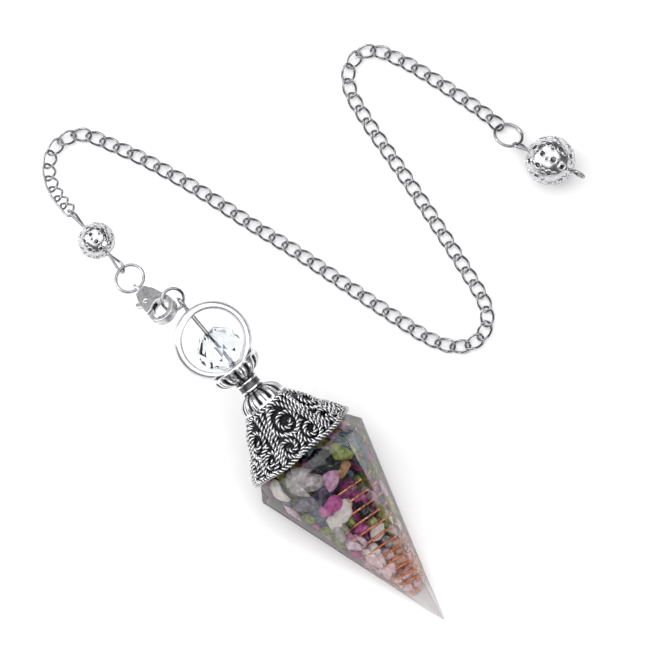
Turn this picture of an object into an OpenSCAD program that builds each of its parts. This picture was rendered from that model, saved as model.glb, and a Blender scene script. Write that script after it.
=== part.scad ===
// A pendulum pendant of resin and stone chips, lying on a flat surface.
// Sizes are in millimetres. The resin point rests on one of its six facets,
// with its tip towards the front right. Its metal caps, frame bead and eye
// rise behind it, and the chain runs down from the eye to the surface.

/* [Resin point] */
// Radius across the corners at the shoulder
point_r = 12.3; // [11.5:0.1:14]
// Length from the tip to the shoulder
point_len = 39.5; // [36:0.5:44]
// Height of the bevel above the shoulder
bevel_len = 3; // [2:0.1:4]
// Distance that the bevel steps in at the corners
bevel_in = 2; // [1:0.1:2.6]
// Resin between the chips and the outside
resin_wall = 1.2; // [0.8:0.1:1.8]

/* [Chips and coil] */
// Largest radius of a stone chip
chip_r = 1.75; // [1.2:0.05:2]
// Distance between layers of chips along the point
chip_layer = 3.35; // [3.2:0.05:4.5]
// Turns of the copper coil
coil_turns = 12; // [8:1:14]
// Diameter of the copper wire
coil_wire_d = 0.5; // [0.3:0.05:0.6]
// Radius of the coil's narrowest turn
coil_low_r = 1.2; // [0.9:0.05:1.4]
// Radius of the coil's widest turn
coil_high_r = 4.7; // [4:0.1:5]

/* [Bell cap] */
// Radius of the bell at its rim
bell_rim_r = 11.1; // [10.6:0.1:12]
// Radius of the bell at its top
bell_top_r = 4.2; // [3.6:0.1:4.8]
// Height of the bell
bell_h = 10.6; // [9:0.1:12]
// Thickness of the bell's wall
bell_wall = 0.9; // [0.7:0.05:1.2]
// Scrollwork panels round the bell
panels = 6; // [5:1:7]
// Thickness of the rope wire in the scrollwork
rope_d = 0.7; // [0.5:0.05:0.9]

/* [Flower caps] */
// Radius of the lower flower cap at its rim
flower_r = 4.6; // [4.4:0.1:5]
// Radius of a flower cap at its waist
waist_r = 2.1; // [1.8:0.1:2.4]
// Height of a flower cap
flower_h = 3.5; // [3:0.1:4]
// Thickness of a flower cap's wall
flower_wall = 0.6; // [0.5:0.05:0.8]
// Petals round each flower cap
petals = 12; // [8:1:14]
// Height of the spacer ring between the flower caps
spacer_h = 2; // [1.5:0.1:2.6]

/* [Frame bead] */
// Outer radius of the frame ring at its wide end
frame_r = 7.4; // [7:0.05:7.6]
// Outer radius of the frame ring at its narrow end, which sits in the flower cap
frame_low_r = 5.6; // [5.5:0.1:5.9]
// Distance between the middles of its wide and narrow ends
frame_stretch = 2.3; // [2.2:0.05:2.8]
// Thickness of the frame ring's band
frame_band = 1.5; // [1.2:0.05:1.7]
// Depth of the frame ring's band
frame_depth = 3; // [2.4:0.1:3.2]
// Radius of the cut glass bead
glass_r = 4.4; // [4:0.1:4.8]
// Length of the cut glass bead
glass_len = 7.7; // [7:0.1:8.2]

/* [Pins and rings] */
// Diameter of the long pin through the caps and beads
pin_d = 0.8; // [0.6:0.05:0.9]
// Radial clearance between a pin and its holes
pin_clear = 0.15; // [0.1:0.01:0.2]
// Diameter of the wire of the eyes at the round beads
eye_wire_d = 0.55; // [0.45:0.05:0.6]
// Radius to the middle of an eye's wire
eye_r = 1.1; // [1:0.05:1.25]
// Diameter of the wire of the large jump rings
ring_wire_d = 0.6; // [0.5:0.05:0.7]
// Radius to the middle of a large jump ring's wire
ring_r = 2.7; // [2.55:0.05:2.85]
// Radius to the middle of the small jump ring's wire
small_ring_r = 2.1; // [2:0.05:2.2]

/* [Pierced balls] */
// Radius of the small pierced ball
small_ball_r = 3.5; // [3.2:0.1:3.6]
// Radius of the large pierced ball
large_ball_r = 4.75; // [4.5:0.05:5]
// Wall of a pierced ball
ball_wall = 0.45; // [0.35:0.05:0.6]

/* [Chain] */
// Distance from link to link
link_pitch = 2.88; // [2.84:0.01:2.9]
// Length of a link between the middles of its wire
link_len = 3.8; // [3.76:0.01:3.9]
// Width of a link between the middles of its wire
link_w = 2.36; // [2.3:0.02:2.5]
// Twist of a link, as the height that its wire rises and falls
link_twist = 0.54; // [0.5:0.01:0.6]
// Diameter of the chain wire
chain_wire_d = 0.46; // [0.44:0.01:0.5]

/* [Clasp] */
// Length of the clasp
clasp_len = 11.8; // [11.4:0.1:12.4]
// Outer radius of the clasp's hook
hook_r = 2.8; // [2.75:0.05:3]
// Radius of the opening inside the hook
hook_open_r = 1.8; // [1.75:0.05:1.9]
// Thickness of the clasp's body
clasp_t = 2; // [1.9:0.05:2.2]
// Thickness of the lever
lever_t = 0.9; // [0.8:0.05:1]

/* [Hidden] */

seat_gap = 0.15;
sides = 6;
// The pendant's axis rises from the tip by the slope of the facet that it rests on.
apothem_share = cos(180 / sides);
tilt = atan(point_r * apothem_share / point_len);
pendant_yaw = 131;
// Distance along the resting facet from the tip to the origin.
tip_to_origin = 26;

// Places along the pendant's axis, measured from the tip.
base_x = point_len + bevel_len;
bell_x = base_x + seat_gap;
bell_top_x = bell_x + bell_h;
lower_flower_x = bell_top_x + seat_gap;
spacer_x = lower_flower_x + flower_h + seat_gap;
upper_flower_x = spacer_x + spacer_h + seat_gap;
flower_rim_x = upper_flower_x + flower_h;
frame_sink = 1.85;
frame_ease = 0.3;
frame_x = flower_rim_x - frame_sink + frame_low_r + frame_stretch;
frame_slope = asin((frame_r - frame_low_r) / frame_stretch);
// The upper flower cap is as wide as the frame ring needs where it sinks in, be that on the
// narrow arc or, above arc_rise, on the straight bands.
arc_rise = frame_low_r * (1 - sin(frame_slope));
arc_chord = sqrt(pow(frame_low_r, 2) - pow(frame_low_r - min(frame_sink, arc_rise), 2));
frame_chord = arc_chord + max(frame_sink - arc_rise, 0) * tan(frame_slope);
upper_flower_r = norm([frame_chord, frame_depth / 2 - 2 * frame_ease]) + seat_gap + flower_wall;
// The bead's flat end meets the hoop's hollow side at the end's own corners.
glass_end_share = 0.4;
glass_seat = sqrt(pow(frame_low_r - frame_band, 2) - pow(glass_end_share * glass_r, 2));
glass_x = frame_x - frame_stretch - glass_seat + seat_gap + glass_len / 2;
pin_head_x = bell_top_x - bell_wall - seat_gap;
eye_neck = 0.45;
top_eye_x = frame_x + frame_r + eye_neck + eye_r;

FINE = 48;
ROUND = 32;

// Heights up the bell from its rim, and radii between its top and its rim, as shares.
BELL_PROFILE_COLUMNS = ["height", "radius"];
BELL_PROFILE = [[0, 1], [0.22, 0.77], [0.42, 0.56], [0.75, 0.28], [1, 0]];

// Each scroll in a panel: its place round the panel and up the bell, its size, all as
// shares of the panel and of the bell's height, and the way that it winds.
SCROLL_COLUMNS = ["round", "up", "size", "turn"];
SCROLLS = [[0, 0.63, 0.25, 1], [-0.25, 0.25, 0.2, -1], [0.25, 0.25, 0.2, 1]];

// The chain's route, from the pierced ball beside the clasp to the ring at the far end.
CHAIN_ROUTE = [
    [-54.11, 57.74, 9.47], [-56.1, 60.7, 6.63], [-57.5, 63.6, 4.57], [-58.2, 66.5, 3.05],
    [-58.1, 69.3, 1.98], [-57.1, 71.7, 1.33], [-55.3, 73.4, 0.91], [-53, 74.3, 0.79],
    [-50.2, 73.9, 0.79], [-44.7, 71.5, 0.79], [-39.8, 69.2, 0.79], [-30.1, 63.6, 0.79],
    [-19.8, 56.8, 0.79], [-10.3, 50.8, 0.79], [-0.8, 44.3, 0.79], [8.7, 37.9, 0.79],
    [13.5, 34.8, 0.79], [16.6, 33.4, 0.79], [19.5, 32.8, 0.79], [22.3, 33.4, 0.79],
    [24.4, 35.2, 0.79], [25.3, 37.8, 0.79], [25, 40.5, 0.79], [24.1, 42.9, 0.79],
    [21, 48.2, 0.79], [18, 53.1, 0.79], [13.5, 60.3, 0.79], [8.7, 67.7, 0.79], [4.1, 74.5, 0.79],
    [1.3, 79.1, 0.79], [-0.3, 82, 0.79], [-1, 84.6, 0.79], [-0.9, 87.2, 0.79], [0.4, 89.6, 0.79],
    [2.7, 90.9, 0.79], [5.3, 90.7, 0.79], [7.9, 89.6, 0.79], [10.7, 88.2, 0.79],
    [17.6, 83.8, 0.79], [24.8, 78.7, 0.79], [27.07, 76.8, 0.9]
];

// Each piece that hangs takes its place from the one that holds it. The way to it is a compass
// angle and a rise, and its distance comes from the sizes of the two rings or eyes.
function toward(yaw, rise) = [cos(rise) * cos(yaw), cos(rise) * sin(yaw), sin(rise)];

eye_along = top_eye_x * cos(tilt) - tip_to_origin;
top_eye_at = [eye_along * cos(pendant_yaw), eye_along * sin(pendant_yaw), top_eye_x * sin(tilt)];
small_ring_yaw = 302.6;
small_ring_pitch = -26.6;
small_ring_at = top_eye_at + (small_ring_r - 0.207) * toward(160.221, 19.411);

clasp_eye_r = 1.4;
clasp_yaw = -45.85;
clasp_pitch = 30.65;
clasp_roll = 188.4;
clasp_way = toward(clasp_yaw, clasp_pitch);
hook_at = small_ring_at + (small_ring_r + 0.632) * toward(-137.568, -8.034);
clasp_at = hook_at - (clasp_len - hook_r) * clasp_way;

front_ring_yaw = 151.3;
front_ring_pitch = -15.7;
front_ring_at = clasp_at + clasp_eye_r * clasp_way + (ring_r + 0.207) * toward(127.004, -13.807);

small_ball_yaw = -50.55;
small_ball_pitch = 17;
small_eye_roll = 64;
small_ball_reach = small_ball_r + eye_r + 3;
small_ball_at = front_ring_at + (ring_r + 0.391) * toward(127.845, -14.963)
    - small_ball_reach * toward(small_ball_yaw, small_ball_pitch);
chain_start_at = small_ball_at - small_ball_reach * toward(small_ball_yaw, small_ball_pitch)
    + (link_len / 2 + 0.2) * toward(123.506, -34.788);

chain_end_at = CHAIN_ROUTE[len(CHAIN_ROUTE) - 1];
end_ring_yaw = 66.8;
end_ring_pitch = -26.7;
end_ring_at = chain_end_at + (ring_r + link_len / 2 - 0.784) * toward(-47.593, 10.569);
large_ball_yaw = -31.2;
large_ball_pitch = 20.2;
large_eye_roll = 56.7;
large_ball_reach = large_ball_r + eye_r + 1.42;
tail_reach = large_ball_r + eye_r + 0.75;
large_ball_over = end_ring_at + (ring_r + 0.351) * toward(-48.827, 12.102)
    + large_ball_reach * toward(large_ball_yaw, large_ball_pitch);
large_ball_at = [large_ball_over[0], large_ball_over[1], large_ball_r];
ball_pin_d = eye_wire_d + 0.12;

function unit(v) = v / norm(v);

// A list of loops of points, each loop round one section, as points and faces of a closed tube.
function loop_faces(loops, n, closed, base) = concat(
    [for (i = [0:loops - (closed ? 1 : 2)], j = [0:n - 1])
        let (a = base + i * n, b = base + ((i + 1) % loops) * n, k = (j + 1) % n)
        [a + j, b + j, b + k, a + k]],
    closed ? [] : [[for (j = [0:n - 1]) base + j], [for (j = [n - 1:-1:0]) base + (loops - 1) * n + j]]
);

// A ring of n points round the wire's middle p, across its direction t.
function wire_ring(p, t, r, n, up = [0, 0, 1]) =
    let (s = unit(cross(up, t)), u = cross(t, s))
    [for (j = [0:n - 1]) p + r * (cos(360 * j / n) * s + sin(360 * j / n) * u)];

// Turns a piece along a direction: it faces along +X, then rolls, rises and swings round.
module turned(at, yaw, pitch, roll = 0) {
    translate(at) rotate([0, 0, yaw]) rotate([0, -pitch, 0]) rotate([roll, 0, 0]) children();
}

// The pendant's own frame: +X from the tip to the eye, with a facet underneath.
module on_facet() {
    rotate([0, 0, pendant_yaw]) translate([-tip_to_origin, 0, 0]) rotate([0, -tilt, 0]) children();
}

// Six corners across the axis at x, with flats above and below.
function hexagon(x, r) = [for (k = [0:sides - 1]) [x, r * cos(360 * k / sides), r * sin(360 * k / sides)]];

module hex_spindle(sections) {
    n = len(sections);
    points = [for (s = sections) each hexagon(s[0], s[1])];
    polyhedron(points, loop_faces(n, sides, false, 0));
}

inner_len = point_len - resin_wall / sin(tilt);
chip_space_tip = point_len - inner_len;
inner_r = point_r - resin_wall / apothem_share;
tip_flat_r = 0.15;

module resin_point() {
    color("thistle", 0.5) on_facet() difference() {
        hex_spindle([[tip_flat_r * point_len / point_r, tip_flat_r], [point_len, point_r],
            [base_x, point_r - bevel_in]]);
        hex_spindle([
            [chip_space_tip + tip_flat_r * inner_len / inner_r, tip_flat_r],
            [point_len, inner_r],
            [base_x - resin_wall, inner_r - bevel_in * (bevel_len - resin_wall) / bevel_len],
            [base_x + 1, inner_r - bevel_in * (bevel_len - resin_wall) / bevel_len]
        ]);
    }
}

// The coil's middle line: a helix that widens from the tip to the wide end.
coil_low_x = 9.5 * point_len / 39.5;
coil_high_x = 33 * point_len / 39.5;
coil_steps = 10;
function coil_share(x) = max(0, min(1, (x - coil_low_x) / (coil_high_x - coil_low_x)));
function coil_radius(x) = coil_low_r + (coil_high_r - coil_low_r) * coil_share(x);
function coil_point(s) =
    let (x = coil_low_x + (coil_high_x - coil_low_x) * (0.78 * s + 0.22 * s * s), a = 360 * coil_turns * s)
    [x, coil_radius(x) * cos(a), -coil_radius(x) * sin(a)];

module copper_coil() {
    wire_sides = 5;
    rings = coil_turns * coil_steps;
    path = [for (i = [0:rings]) coil_point(i / rings)];
    points = [for (i = [0:rings]) each wire_ring(path[i],
        unit(path[min(i + 1, rings)] - path[max(i - 1, 0)]), coil_wire_d / 2, wire_sides, [1, 0, 0])];
    color("peru") on_facet() polyhedron(points, loop_faces(rings + 1, wire_sides, false, 0));
}

// Room for a chip between the axis and the resin wall, at the place x.
function room(x) = inner_r * apothem_share * min(1, (x - chip_space_tip) / inner_len);

// Chips sit in layers: inside the coil, and outside it where the point is wide enough.
chip_gap = 0.15;
first_layer_x = 12.5 * point_len / 39.5;
layer_count = floor((base_x - chip_r - chip_gap - first_layer_x) / chip_layer) + 1;
function in_coil(x) = x < coil_high_x + chip_r + coil_wire_d;
function inner_limit(x) = (in_coil(x) ? coil_radius(x - chip_r) : room(x)) - coil_wire_d / 2 - chip_gap;
function ring_spots(x, r, size, turn) =
    let (n = floor(180 / asin(min(1, (size + chip_gap / 2) / max(r, size + chip_gap)))))
    [for (k = [0:n - 1]) [x, r * cos(360 * k / n + turn), r * sin(360 * k / n + turn), size]];
function layer_spots(i) =
    let (
        x = first_layer_x + i * chip_layer,
        limit = inner_limit(x),
        centre = min(chip_r, limit),
        middle_r = centre + chip_r + chip_gap,
        outer_low = (in_coil(x) ? coil_radius(x + chip_r) : middle_r + chip_r) + coil_wire_d / 2 + chip_gap,
        outer_room = room(x - chip_r) - chip_gap - outer_low,
        outer = min(chip_r, outer_room / 2)
    )
    concat(
        [[x, 0, 0, centre]],
        middle_r + chip_r < limit ? ring_spots(x, middle_r, chip_r, 25 * i) : [],
        outer > 0.6 ? ring_spots(x, outer_low + outer, outer, 40 * i) : []
    );
CHIP_SPOTS = [for (i = [0:layer_count - 1]) each layer_spots(i)];

// Eight corners of one chip: two squares turned against each other, each corner pulled in a little.
function chip_corners(spot, seed) =
    let (
        pull = rands(0.88, 1, 8, seed),
        flat = rands(0.5, 0.62, 1, seed + 500)[0],
        turn = rands(0, 90, 1, seed + 900)[0]
    )
    [for (j = [0:7])
        let (a = 90 * (j % 4) + (j < 4 ? 0 : 45) + turn, r = spot[3] * pull[j] * sqrt(1 - flat * flat))
        [spot[0], spot[1], spot[2]]
            + [r * cos(a), r * sin(a), (j < 4 ? -1 : 1) * flat * spot[3] * pull[j]]];
CHIP_FACES = [
    [0, 1, 2, 3], [7, 6, 5, 4], [0, 4, 1], [1, 4, 5], [1, 5, 2], [2, 5, 6], [2, 6, 3], [3, 6, 7],
    [3, 7, 0], [0, 7, 4]
];
// Four corners that are pulled by different amounts aren't flat, so each square is two triangles.
CHIP_TRIANGLES = [for (f = CHIP_FACES) each len(f) == 3 ? [f] : [[f[0], f[1], f[2]], [f[0], f[2], f[3]]]];

module gem_chips() {
    count = len(CHIP_SPOTS);
    points = [for (i = [0:count - 1]) each chip_corners(CHIP_SPOTS[i], i)];
    faces = [for (i = [0:count - 1], f = CHIP_TRIANGLES) [for (v = f) v + 8 * i]];
    color("plum") on_facet() polyhedron(points, faces);
}

// The bell's outer radius at a height above its rim.
function bell_r(h) = bell_top_r + (bell_rim_r - bell_top_r)
    * lookup(h / bell_h, [for (row = BELL_PROFILE) row]);

// A point on the bell, raised or sunk, at an angle round it and a height.
rope_sink = 0.12 * rope_d;
function on_bell(angle, h, lift) =
    let (r = bell_r(h) + lift)
    [bell_x + h, r * cos(angle), r * sin(angle)];

module rope_bead(at) {
    translate(at) rotate([0, 90, 0]) cylinder(d = rope_d, h = rope_d / 2, center = true, $fn = 4);
}

module rope(path) {
    for (i = [0:len(path) - 2])
        hull() {
            rope_bead(path[i]);
            rope_bead(path[i + 1]);
        }
}

function arch_path(angle) = [for (s = [-1:0.25:1])
    on_bell(angle + s * 165 / panels, bell_h * (0.04 + 0.9 * pow(1 - pow(abs(s), 3), 0.55)), -rope_sink)];

function scroll_path(angle, scroll) = [for (k = [0:7])
    let (
        a = 90 + scroll[3] * k * 62,
        r = scroll[2] * bell_h * (1 - 0.1 * k),
        h = scroll[1] * bell_h + r * sin(a),
        round_mm = scroll[0] * 2 * PI * bell_r(scroll[1] * bell_h) / panels + r * cos(a)
    )
    on_bell(angle + round_mm / bell_r(h) * 180 / PI, h, -rope_sink)];

module bell_cap() {
    outer = [for (row = BELL_PROFILE) [bell_r(row[0] * bell_h), row[0] * bell_h]];
    inner = [for (row = BELL_PROFILE)
        [bell_r(row[0] * bell_h) - bell_wall, min(row[0] * bell_h, bell_h - bell_wall)]];
    hole = pin_d / 2 + pin_clear;
    color("dimgray") on_facet() union() {
        translate([bell_x, 0, 0]) rotate([0, 90, 0]) rotate_extrude($fn = 36) polygon(concat(
            outer,
            [[hole, bell_h], [hole, bell_h - bell_wall]],
            [for (i = [len(inner) - 1:-1:0]) inner[i]]
        ));
        for (p = [0:panels - 1]) {
            rope(arch_path(90 + 360 * p / panels));
            for (scroll = SCROLLS) rope(scroll_path(90 + 360 * p / panels, scroll));
        }
    }
}

// A flower cap opens from its waist to its rim, and its rim is notched between its petals.
module flower_cap(waist_x, way, rim_r) {
    hole = pin_d / 2 + pin_clear;
    notch_r = rim_r * sin(180 / petals) * 0.3;
    translate([waist_x, 0, 0]) rotate([0, 90 * way, 0]) difference() {
        rotate_extrude($fn = FINE) polygon([
            [hole, 0], [waist_r, 0], [waist_r + 0.15, flower_h * 0.1], [rim_r * 0.74, flower_h * 0.24],
            [rim_r * 0.93, flower_h * 0.46], [rim_r, flower_h * 0.7], [rim_r, flower_h],
            [rim_r - flower_wall, flower_h], [rim_r - flower_wall, flower_h * 0.72],
            [rim_r * 0.93 - flower_wall, flower_h * 0.52], [rim_r * 0.6, flower_h * 0.36],
            [rim_r * 0.4, flower_wall], [hole, flower_wall]
        ]);
        for (k = [0:petals - 1]) rotate([0, 0, 360 * (k + 0.5) / petals])
            translate([rim_r - flower_wall * 1.5, 0, flower_h]) rotate([0, 90, 0])
                cylinder(r = notch_r, h = flower_wall * 3, $fn = ROUND);
    }
}

module lower_flower_cap() {
    color("silver") on_facet() flower_cap(lower_flower_x + flower_h, -1, flower_r);
}

module upper_flower_cap() {
    color("silver") on_facet() flower_cap(upper_flower_x, 1, upper_flower_r);
}

module spacer_ring() {
    hole = pin_d / 2 + pin_clear;
    lip = waist_r + 0.25;
    color("silver") on_facet() translate([spacer_x, 0, 0]) rotate([0, 90, 0])
        rotate_extrude($fn = FINE) polygon([
        [hole, 0], [lip, 0], [lip, spacer_h * 0.18], [waist_r, spacer_h * 0.25],
        [waist_r, spacer_h * 0.79], [lip, spacer_h * 0.82], [lip, spacer_h], [hole, spacer_h]
    ]);
}

// The frame ring's band: its section where its outside lies at a radius.
module band_section(r) {
    in_r = r - frame_band;
    d = frame_depth / 2;
    polygon([
        [in_r, frame_ease - d], [in_r + frame_ease, -d], [r - 2 * frame_ease, -d], [r, 2 * frame_ease - d],
        [r, d - 2 * frame_ease], [r - 2 * frame_ease, d], [in_r + frame_ease, d], [in_r, d - frame_ease]
    ]);
}

// A wide arc and a narrow one, with a short straight band on each side that touches both.
module frame_ring() {
    open = 90 - frame_slope;
    straight = frame_stretch * cos(frame_slope);
    color("gainsboro") on_facet() translate([frame_x, 0, 0]) difference() {
        union() {
            rotate([0, 0, open - 180]) rotate_extrude(angle = 360 - 2 * open, $fn = FINE * 2)
                band_section(frame_r);
            translate([-frame_stretch, 0, 0]) rotate([0, 0, 180 - open])
                rotate_extrude(angle = 2 * open, $fn = FINE * 2) band_section(frame_low_r);
            for (side = [-1, 1])
                rotate([0, 0, side * (180 - open)]) rotate([-side * 90, 0, 0]) translate([0, 0, -0.01])
                    linear_extrude(straight + 0.02) band_section(frame_r);
        }
        translate([-2 * frame_r, 0, 0]) rotate([0, 90, 0])
            cylinder(r = pin_d / 2 + pin_clear, h = 4 * frame_r, $fn = ROUND);
    }
}

// Rings of corners round the glass bead: place along it and radius, as shares, and the turn.
GLASS_COLUMNS = ["along", "radius", "turn"];
GLASS_RINGS = [
    [-0.5, glass_end_share, 0], [-0.24, 0.93, 0.5], [0, 1, 0], [0.24, 0.93, 0.5],
    [0.5, glass_end_share, 0]
];
glass_sides = 8;

module glass_bead() {
    rings = len(GLASS_RINGS);
    points = [for (g = GLASS_RINGS, k = [0:glass_sides - 1])
        let (a = 360 * (k + g[2]) / glass_sides)
        [glass_x + g[0] * glass_len, g[1] * glass_r * cos(a), g[1] * glass_r * sin(a)]];
    side_faces = [for (i = [0:rings - 2], j = [0:glass_sides - 1])
        let (a = i * glass_sides, b = (i + 1) * glass_sides, k = (j + 1) % glass_sides)
        each GLASS_RINGS[i][2] == 0
            ? [[a + j, b + j, a + k], [a + k, b + j, b + k]]
            : [[a + j, b + j, b + k], [a + j, b + k, a + k]]];
    ends = [
        [for (j = [0:glass_sides - 1]) j],
        [for (j = [glass_sides - 1:-1:0]) (rings - 1) * glass_sides + j]
    ];
    color("aliceblue") on_facet() difference() {
        polyhedron(points, concat(side_faces, ends));
        translate([glass_x - glass_len, 0, 0]) rotate([0, 90, 0])
            cylinder(r = pin_d / 2 + pin_clear, h = 2 * glass_len, $fn = ROUND);
    }
}

// A round loop of wire in the XY plane.
module wire_loop(r, wire_d) {
    rotate_extrude($fn = FINE) translate([r, 0]) circle(d = wire_d, $fn = ROUND);
}

module long_pin() {
    head_r = pin_d * 1.8;
    head_t = 0.5;
    color("silver") on_facet() union() {
        translate([pin_head_x - head_t, 0, 0]) rotate([0, 90, 0])
            cylinder(r = head_r, h = head_t, $fn = ROUND);
        translate([pin_head_x - head_t / 2, 0, 0]) rotate([0, 90, 0])
            cylinder(d = pin_d, h = top_eye_x - eye_r - pin_head_x + head_t / 2, $fn = ROUND);
        translate([top_eye_x, 0, 0]) rotate([90, 0, 0]) wire_loop(eye_r, pin_d * 0.8);
    }
}

module small_ring() {
    color("silver") turned(small_ring_at, small_ring_yaw, small_ring_pitch)
        wire_loop(small_ring_r, ring_wire_d);
}

module front_ring() {
    color("silver") turned(front_ring_at, front_ring_yaw, front_ring_pitch) wire_loop(ring_r, ring_wire_d);
}

module end_ring() {
    color("silver") turned(end_ring_at, end_ring_yaw, end_ring_pitch) wire_loop(ring_r, ring_wire_d);
}

// The clasp's own frame: +X from its eye to its hook, with its lever on the +Y side.
eye_bar_r = 0.35;
hook_x = clasp_len - hook_r;
pivot = [hook_x - 1.25 * hook_r, 0.32 * hook_r];
pivot_pin_r = 0.35;
pivot_clear = 0.05;
lever_gap = 0.12;
boss_r = 0.95;
// Angles round the hook where its nose ends and where the lever's tip ends.
nose_angle = 64;
tip_angle = 73;
slot_t = lever_t + 2 * lever_gap;
lever_out_r = hook_r - 0.05;
// How far the lever's tip reaches from its pin, so that the nose stays clear of its swing.
lever_reach = norm([hook_x + lever_out_r * cos(tip_angle), lever_out_r * sin(tip_angle)] - pivot);

module arc_band(r_in, r_out, from, to) {
    steps = 12;
    polygon(concat(
        [for (i = [0:steps]) let (a = from + (to - from) * i / steps) [r_out * cos(a), r_out * sin(a)]],
        [for (i = [steps:-1:0]) let (a = from + (to - from) * i / steps) [r_in * cos(a), r_in * sin(a)]]
    ));
}

module clasp_body() {
    color("silver") turned(clasp_at, clasp_yaw, clasp_pitch, clasp_roll) difference() {
        union() {
            translate([clasp_eye_r, 0, 0]) rotate([90, 0, 0])
                wire_loop(clasp_eye_r - eye_bar_r, 2 * eye_bar_r);
            translate([0, 0, -clasp_t / 2]) linear_extrude(clasp_t) polygon([
                [2 * clasp_eye_r - eye_bar_r, -hook_r * 0.4], [2 * clasp_eye_r - eye_bar_r, hook_r * 0.4],
                [clasp_len * 0.36, hook_r * 0.68], [hook_x - hook_r * 0.2, hook_r * 0.96],
                [hook_x - hook_r * 0.2, -hook_r * 0.96], [clasp_len * 0.36, -hook_r * 0.68]
            ]);
            translate([hook_x, 0, -clasp_t / 2]) cylinder(r = hook_r, h = clasp_t, $fn = FINE);
        }
        translate([hook_x, 0, -clasp_t]) cylinder(r = hook_open_r, h = 2 * clasp_t, $fn = FINE);
        // The gap that the lever closes.
        translate([hook_x, 0, -clasp_t]) linear_extrude(2 * clasp_t) polygon([
            [0, 0], [3 * hook_r * cos(nose_angle), 3 * hook_r * sin(nose_angle)],
            [-hook_r * 0.46, 3 * hook_r], [-hook_r * 0.46, pivot[1]]
        ]);
        // The inner corner of the nose, which the lever's tip swings past.
        translate([0, 0, -clasp_t]) linear_extrude(2 * clasp_t) intersection() {
            translate(pivot) circle(r = lever_reach + lever_gap, $fn = FINE);
            translate([hook_x, 0]) square(hook_r);
        }
        // The slot that the lever swings in, and the hole for its pin.
        translate([pivot[0] - 2.3 * boss_r, pivot[1] - boss_r - 2 * lever_gap, -slot_t / 2])
            cube([hook_x - pivot[0] + 2.3 * boss_r, 2 * hook_r, slot_t]);
        translate([pivot[0], pivot[1], -clasp_t])
            cylinder(r = pivot_pin_r + pivot_clear, h = 2 * clasp_t, $fn = ROUND);
    }
}

module lever_outline() {
    translate(pivot) circle(r = boss_r, $fn = ROUND);
    translate([hook_x, 0]) arc_band(hook_open_r + 0.1, lever_out_r, tip_angle, 145);
    // The arm from the pivot to the band, and the thumb tab.
    polygon([
        [pivot[0], pivot[1] - 0.95 * boss_r], [hook_x - 0.62 * hook_r, 0.37 * hook_r],
        [hook_x - 0.43 * hook_r, 0.93 * hook_r], [pivot[0] + 0.2 * boss_r, pivot[1] + boss_r]
    ]);
    polygon([
        pivot + boss_r * [-0.3, -0.4], pivot + boss_r * [0.5, 0.85],
        pivot + boss_r * [-1.4, 2.2], pivot + boss_r * [-2.1, 1.6]
    ]);
}

module clasp_lever() {
    color("gainsboro") turned(clasp_at, clasp_yaw, clasp_pitch, clasp_roll) union() {
        translate([0, 0, -lever_t / 2]) linear_extrude(lever_t) lever_outline();
        translate([pivot[0], pivot[1], -clasp_t / 2]) cylinder(r = pivot_pin_r, h = clasp_t, $fn = ROUND);
    }
}

// Rows of six-sided holes through a hollow ball: the row's turn from the middle, how many, and their size.
BALL_COLUMNS = ["row_angle", "count", "size"];
BALL_ROWS = [[0, 12, 0.13], [30, 9, 0.14], [-30, 9, 0.14], [57, 5, 0.13], [-57, 5, 0.13]];

module pierced_ball(r, pin_hole_r) {
    difference() {
        rotate([0, 90, 0]) sphere(r = r, $fn = FINE);
        rotate([0, 90, 0]) sphere(r = r - ball_wall, $fn = FINE);
        rotate([0, 90, 0]) cylinder(r = pin_hole_r, h = 3 * r, center = true, $fn = ROUND);
        for (row = BALL_ROWS, k = [0:row[1] - 1])
            rotate([360 * (k + (row[0] > 0 ? 0.5 : 0.25)) / row[1], 0, 0]) rotate([0, 0, 90 - row[0]])
                translate([0.5 * r, 0, 0]) rotate([0, 90, 0]) cylinder(r = row[2] * r, h = 0.7 * r, $fn = 6);
    }
}

// A straight pin along X with a round eye at each end.
module ball_pin(front_reach, back_reach, front_roll, back_roll) {
    union() {
        translate([-back_reach + eye_r, 0, 0]) rotate([0, 90, 0])
            cylinder(d = ball_pin_d, h = front_reach + back_reach - 2 * eye_r, $fn = ROUND);
        rotate([front_roll, 0, 0]) translate([front_reach, 0, 0]) wire_loop(eye_r, eye_wire_d);
        rotate([back_roll, 0, 0]) translate([-back_reach, 0, 0]) wire_loop(eye_r, eye_wire_d);
    }
}

module small_ball() {
    color("silver") turned(small_ball_at, small_ball_yaw, small_ball_pitch)
        pierced_ball(small_ball_r, ball_pin_d / 2 + pin_clear);
}

module small_ball_pin() {
    color("silver") turned(small_ball_at, small_ball_yaw, small_ball_pitch)
        ball_pin(small_ball_reach, small_ball_reach, small_eye_roll, small_eye_roll);
}

module large_ball() {
    color("silver") turned(large_ball_at, large_ball_yaw, large_ball_pitch)
        pierced_ball(large_ball_r, ball_pin_d / 2 + pin_clear);
}

module large_ball_pin() {
    color("silver") turned(large_ball_at, large_ball_yaw, large_ball_pitch)
        ball_pin(tail_reach, large_ball_reach, 90, large_eye_roll);
}

// The route drawn out as a smooth curve through its points.
curve_steps = 6;
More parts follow.
